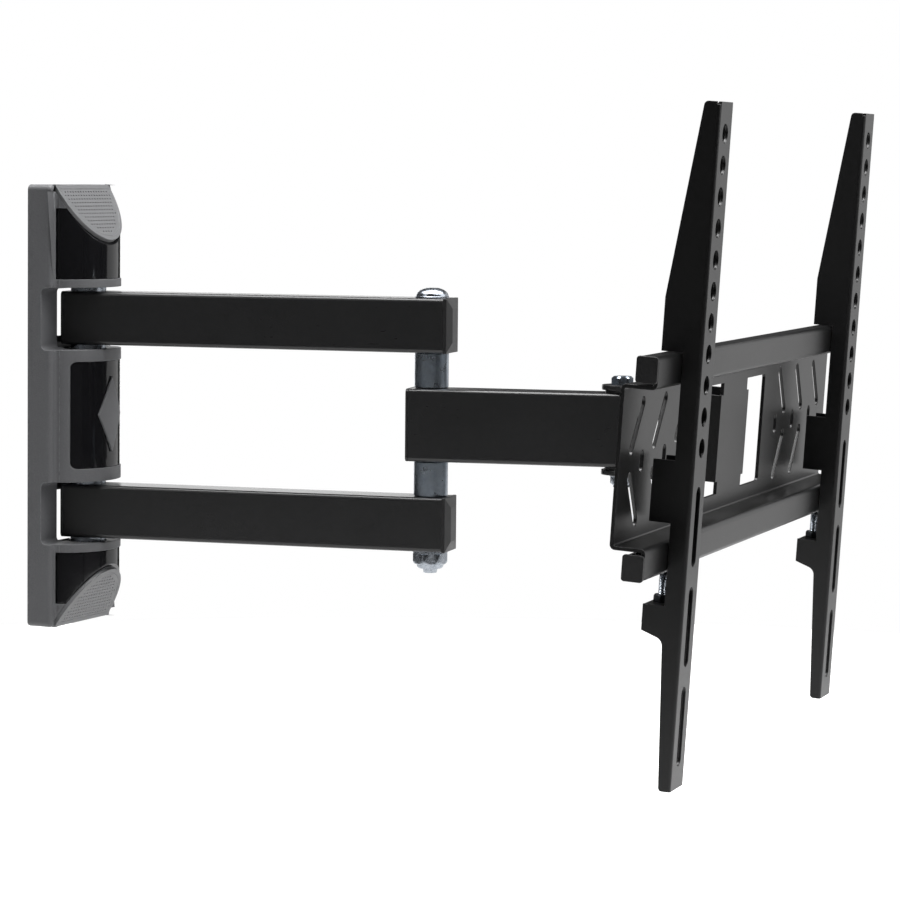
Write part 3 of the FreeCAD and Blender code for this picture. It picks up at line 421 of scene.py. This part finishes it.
def bodyOf(node):
    return next(body for body, members in frame["record"]["behaviour"]["bodies"].items() if node in members)


# node: its piece, how far its edges are eased in millimetres, and its finish
easedNodes = {
    "wall_plate": ("wallPlateSheet", 0.3, "blackCoat"),
    "wall_cover": ("coverShell", 0.35, "coverPlastic"),
    "top_hood": ("topHoodFrame", 0.3, "grillePlasticPaintedLight"),
    "bottom_hood": ("bottomHoodFrame", 0.3, "grillePlasticPaintedLight"),
    "diamond_pad": ("diamondPad", 0.35, "coverPlastic"),
    "top_panel": ("topGlossPanel", 0.2, "glossPanel"),
    "middle_panel": ("middleGlossPanel", 0.2, "glossPanel"),
    "bottom_panel": ("bottomGlossPanel", 0.2, "glossPanel"),
    "upper_arm_tube": ("upperArmTube", 0.3, "blackCoat"),
    "lower_arm_tube": ("lowerArmTube", 0.3, "blackCoat"),
    "second_arm_tube": ("secondArmTube", 0.35, "blackCoat"),
    "wall_end_caps": ("wallEndCaps", 0.4, "capPlastic"),
    "elbow_end_caps": ("elbowEndCaps", 0.25, "capPlastic"),
    "second_arm_caps": ("secondArmCaps", 0.4, "capPlastic"),
    "head_bracket": ("headBracketSheet", 0.4, "blackCoat"),
    "screen_plate": ("screenPlateSheet", 0.3, "bracketCoat"),
    "rail_end_caps": ("railEndCaps", 0.4, "capPlastic"),
    "near_bracket": ("nearBracketSheet", 0.3, "bracketCoat"),
    "far_bracket": ("farBracketSheet", 0.3, "bracketCoat"),
}
# nodes whose own mesh shows, with a finish each
plainNodes = {
    "top_grille": "grillePlasticPaintedLight", "bottom_grille": "grillePlasticPaintedLight",
    "wall_pivot_bolts": "zinc", "wall_pivot_nuts": "zinc", "wall_pivot_washers": "zinc",
    "wall_bushes": "nylon", "elbow_washer": "zinc",
    "upper_elbow_spacer": "darkZinc", "lower_elbow_spacer": "darkZinc", "elbow_sleeve": "zinc",
    "swivel_sleeve": "zinc", "swivel_washers": "nylon",
    "tilt_washers": "nylon", "tilt_bolts": "blackOxide", "tilt_nuts": "zinc",
    "near_lock_nut": "blackOxide", "far_lock_nut": "blackOxide",
}


# screws and nuts, turned about their own axes
def endCentre(node, along):
    # the middle of a node's end ring, on its axis
    ringDepth = 0.02 * mm
    points = [v.co for v in frame["nodes"][node].data.vertices]
    reach = max(p.dot(along) for p in points)
    ring = [p for p in points if reach - p.dot(along) < ringDepth]
    return Vector([(min(p[k] for p in ring) + max(p[k] for p in ring)) / 2 for k in range(3)])


def threadProfile(radius, pitch, start, end):
    # ridges and roots down a shank; the roots are 0.45 of the pitch deep
    deep = pitch * 0.45
    count = int((end - start) / pitch)
    points = []
    for k in range(count):
        points.append((radius, start + k * pitch))
        points.append((radius - deep, start + (k + 0.5) * pitch))
    return points


def turnPart(piece, node, finish, profile, start, along, flats=0, closed=False):
    # the profile is (radius, distance from the start) in millimetres; flats cuts what is wider to a hexagon
    turning = dict(sides=48, weld=1e-6, shade=33)
    bm = bmesh.new()
    points = [bm.verts.new((radius * mm, 0, depth * mm)) for radius, depth in profile]
    lines = [bm.edges.new(pair) for pair in zip(points, points[1:])]
    if closed:
        lines.append(bm.edges.new((points[-1], points[0])))
    bmesh.ops.spin(bm, geom=points + lines, cent=(0, 0, 0), axis=(0, 0, 1), dvec=(0, 0, 0),
                   angle=2 * math.pi, steps=turning["sides"], use_merge=True)
    bmesh.ops.remove_doubles(bm, verts=bm.verts, dist=turning["weld"])
    for vert in bm.verts:
        wide = math.hypot(vert.co.x, vert.co.y)
        turn = math.atan2(vert.co.y, vert.co.x) % (math.pi / 3) - math.pi / 6
        edge = flats / 2 * mm / math.cos(turn)
        if flats and wide > edge:
            vert.co.x *= edge / wide
            vert.co.y *= edge / wide
    place = Matrix.Translation(start) @ along.to_track_quat("Z", "Y").to_matrix().to_4x4()
    bmesh.ops.transform(bm, matrix=place, verts=bm.verts)
    bmesh.ops.recalc_face_normals(bm, faces=bm.faces)
    for face in bm.faces:
        face.smooth = True
    made = meshPiece(piece, bm)
    made.data.set_sharp_from_angle(angle=math.radians(turning["shade"]))
    made.data.materials.append(finishes[finish])
    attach(made, bodyOf(node))
    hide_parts(node)


def makeElbowBolt():
    # a low mushroom head with a hexagon key, and a thread that shows below the nut
    size = dict(head=12.0, dome=11.6, rise=6.2, rim=1.3, key=4.2, keyDepth=3.4, keyLip=0.4, shank=6.0,
                pitch=1.75, thread=24.0, chamfer=1.2, seat=7.5, brim=0.3, under=0.2, steps=10)
    down = Vector((0, 0, -1))
    top = endCentre("elbow_bolt", -down)
    length = (endCentre("elbow_bolt", down) - top).length / mm
    lip = math.asin((size["key"] + size["keyLip"]) / size["dome"])
    crown = size["seat"] - size["rim"] - size["rise"]
    profile = [(0, crown + size["keyDepth"]), (size["key"], crown + size["keyDepth"])]
    for k in range(size["steps"] + 1):
        angle = lip + (math.pi / 2 - lip) * k / size["steps"]
        profile.append((size["dome"] * math.sin(angle), crown + size["rise"] * (1 - math.cos(angle))))
    profile.append((size["head"], size["seat"] - size["rim"] + size["brim"]))
    profile.append((size["head"], size["seat"] - size["under"]))
    profile.append((size["head"] - size["brim"], size["seat"]))
    profile.append((size["shank"], size["seat"]))
    profile += threadProfile(size["shank"], size["pitch"], length - size["thread"], length - size["chamfer"])
    profile += [(size["shank"] - size["chamfer"], length), (0, length)]
    turnPart("elbowBoltTurned", "elbow_bolt", "zinc", profile, top, down)


def roundedShoulder(radius, depth, bend, first, steps):
    # the points of a quarter circle that turns a side of this radius in to a face at this depth
    points = []
    for k in range(first, steps + 1):
        angle = math.pi / 2 * k / steps
        points.append((radius - bend * (1 - math.cos(angle)), depth - bend * (1 - math.sin(angle))))
    return points


def makeElbowNut():
    # a locking nut: six flats, rounded shoulders and a collar that grips the thread
    size = dict(flats=21.5, corner=12.4, height=8.4, shoulder=2.6, shoulderSteps=5, collar=9.6, tall=3.0,
                collarBend=2.2, collarSteps=4, foot=0.2, bore=6.0, edge=1.2, slope=0.6)
    down = Vector((0, 0, -1))
    top = endCentre("elbow_nut", -down)
    low = size["height"]
    end = low + size["tall"]
    profile = [(size["bore"], 0), (size["corner"] - size["edge"], 0)]
    profile.append((size["corner"], size["edge"] * size["slope"]))
    profile += roundedShoulder(size["corner"], low, size["shoulder"], 0, size["shoulderSteps"])
    profile.append((size["collar"], low + size["foot"]))
    profile += roundedShoulder(size["collar"], end, size["collarBend"], 1, size["collarSteps"])
    profile.append((size["bore"], end))
    turnPart("elbowNutTurned", "elbow_nut", "zinc", profile, top, down, size["flats"], True)


def hexScrew(piece, node, finish, along, size):
    # a hexagonal head with its corners turned down, and a threaded shank; the shape is in shares
    shape = dict(face=0.94, fall=0.09, tip=0.8)
    start = endCentre(node, -along)
    length = (endCentre(node, along) - start).length / mm
    corner = size["flats"] / 2 / math.cos(math.pi / 6)
    profile = [(0, 0), (size["flats"] / 2 * shape["face"], 0), (corner, size["flats"] * shape["fall"])]
    profile += [(corner, size["head"]), (size["shank"], size["head"])]
    begin = max(size["head"], length - size["thread"])
    profile += threadProfile(size["shank"], size["pitch"], begin, length - size["pitch"])
    profile += [(size["shank"] * shape["tip"], length), (0, length)]
    turnPart(piece, node, finish, profile, start, along, size["flats"])


def makeSwivelNut():
    # a round flange, and on it a locking nut with a short collar
    size = dict(flats=13.5, flange=8.5, plate=1.4, height=6.0, collar=5.9, tall=2.0, bore=4.0, brim=0.3,
                fall=1.2, step=0.5, lip=0.6)
    down = Vector((0, 0, -1))
    top = endCentre("swivel_nut", -down)
    corner = size["flats"] / 2 / math.cos(math.pi / 6)
    flange, plate, brim = size["flange"], size["plate"], size["brim"]
    low = plate + size["height"]
    end = low + size["tall"]
    profile = [(size["bore"], 0), (flange - brim, 0), (flange, brim), (flange, plate - brim)]
    profile += [(flange - brim, plate), (size["bore"], plate)]
    turnPart("swivelNutFlange", "swivel_nut", "zinc", profile, top, down, 0, True)
    collar, lip = size["collar"], size["lip"]
    profile = [(size["bore"], plate), (corner, plate), (corner, low - size["fall"])]
    profile += [(collar + size["step"], low), (collar, low), (collar, end - lip), (collar - lip, end)]
    profile.append((size["bore"], end))
    turnPart("swivelNutTurned", "swivel_nut", "zinc", profile, top, down, size["flats"], True)


def makeScrews():
    makeElbowBolt()
    makeElbowNut()
    makeSwivelNut()
    hexScrew("swivelBoltTurned", "swivel_bolt", "darkZinc", Vector((0, 0, -1)),
             dict(flats=13.5, head=6.0, shank=4.0, pitch=1.25, thread=20.0))
    lockSize = dict(flats=10.0, head=4.0, shank=3.0, pitch=1.0, thread=40.0)
    for side in ("near", "far"):
        joint = side + "_lock_travel"
        row = next(j for j in frame["record"]["behaviour"]["joints"] if j["name"] == joint)
        hexScrew(side + "LockScrewTurned", side + "_lock_screw", "zinc", Vector(row["axis"]), lockSize)


def finishNodes():
    for node, (piece, width, finish) in easedNodes.items():
        easedCopy(node, piece, width * mm, finish)
    for node, finish in plainNodes.items():
        target = frame["nodes"][node]
        target.data.materials.clear()
        target.data.materials.append(finishes[finish])


makeCamera()
makeStudio()
makeFloor()
print("studio made")
finishNodes()
makeScrews()
print("pieces made")

bpy.context.view_layer.update()
